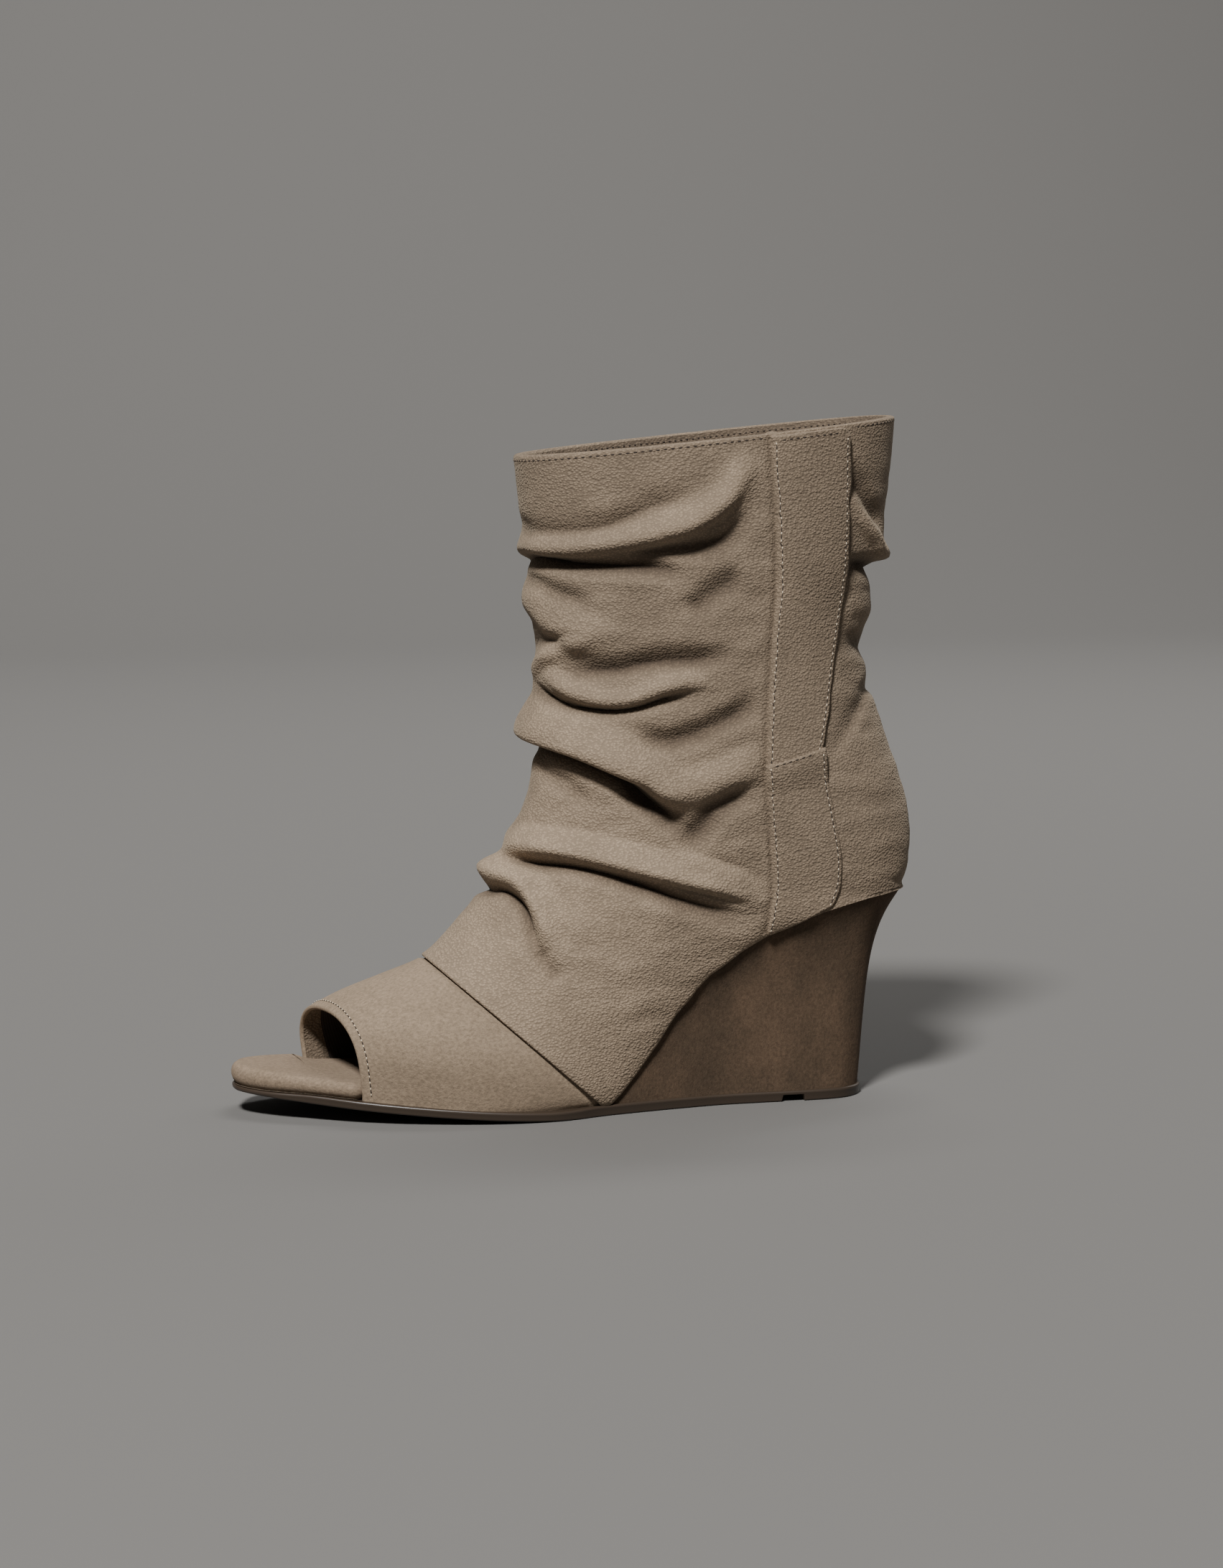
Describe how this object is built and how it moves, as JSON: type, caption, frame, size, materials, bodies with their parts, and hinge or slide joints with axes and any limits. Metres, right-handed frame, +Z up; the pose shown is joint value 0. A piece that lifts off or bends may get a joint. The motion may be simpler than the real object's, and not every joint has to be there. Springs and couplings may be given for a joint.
{
  "type": "peep toe ankle boot",
  "caption": "Slouchy peep toe ankle boot, left foot, on a suede-covered full wedge, with a zip cover flap on the outer side.",
  "frame": {"origin": "on the floor, in the middle of the flat patch under the heel", "axes": "-X towards the toe, +Z up, -Y towards the outer side of the foot"},
  "size_m": [0.2359, 0.0819, 0.2332],
  "materials": {
    "outsole": "moulded, semi-gloss brown",
    "wedge_cover": "brown suede with a long nap",
    "insole_cover": "taupe suede",
    "upper_suede": "taupe suede, finely pebbled"
  },
  "bodies": {
    "root": {"outsole": "outsole", "wedge_heel": "wedge_cover", "insole": "insole_cover", "upper": "upper_suede", "zip_flap": "upper_suede", "lower_tab": "upper_suede"}
  },
  "joints": []
}
